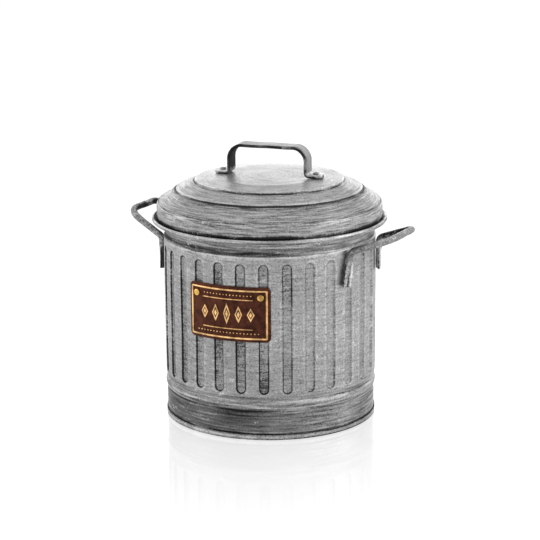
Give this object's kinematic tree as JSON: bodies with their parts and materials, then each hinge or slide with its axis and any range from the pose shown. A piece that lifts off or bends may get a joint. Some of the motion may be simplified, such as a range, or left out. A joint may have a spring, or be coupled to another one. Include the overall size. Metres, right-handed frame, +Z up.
{
  "type": "lidded metal bin",
  "caption": "Small round fluted galvanized-steel bin with a stepped lift-off lid, a strap lid handle, two bent-rod side handles and a riveted plaque.",
  "frame": {"origin": "on the axis of the body, at the level of the foot it stands on", "axes": "+Z up along the axis; +X towards the right side handle, -X towards the left one; -Y to the front, where the plaque is"},
  "size_m": [0.2238, 0.1766, 0.2058],
  "materials": {
    "zinc_body": "galvanized sheet, brushed and darkened in the recesses",
    "zinc_lid": "galvanized sheet, brushed round the axis, lightly scuffed",
    "zinc_base": "galvanized sheet, darkened",
    "zinc_handle": "galvanized rod, drawn and darkened",
    "zinc_strap": "galvanized strap, brushed along its length, dark edges",
    "wire_steel": "plain drawn wire",
    "plaque_bronze": "cast brass with a dark brown ground and rubbed raised edges",
    "rivet_brass": "domed brass head, lightly aged",
    "rivet_steel": "galvanized tubular rivet"
  },
  "bodies": {
    "can": {"body_shell": "zinc_body", "rim_wire": "wire_steel", "base_pan": "zinc_base", "side_handle_right": "zinc_handle", "side_handle_left": "zinc_handle", "plaque": "plaque_bronze", "plaque_rivet_left": "rivet_brass", "plaque_rivet_right": "rivet_brass"},
    "lid": {"lid_shell": "zinc_lid", "lid_handle": "zinc_strap", "lid_rivet_left": "rivet_steel", "lid_rivet_right": "rivet_steel"}
  },
  "joints": [
    {"name": "lid_lift", "type": "slide", "parent": "can", "child": "lid", "axis": [0, 0, 1], "range_m": [0, 0.12]}
  ]
}
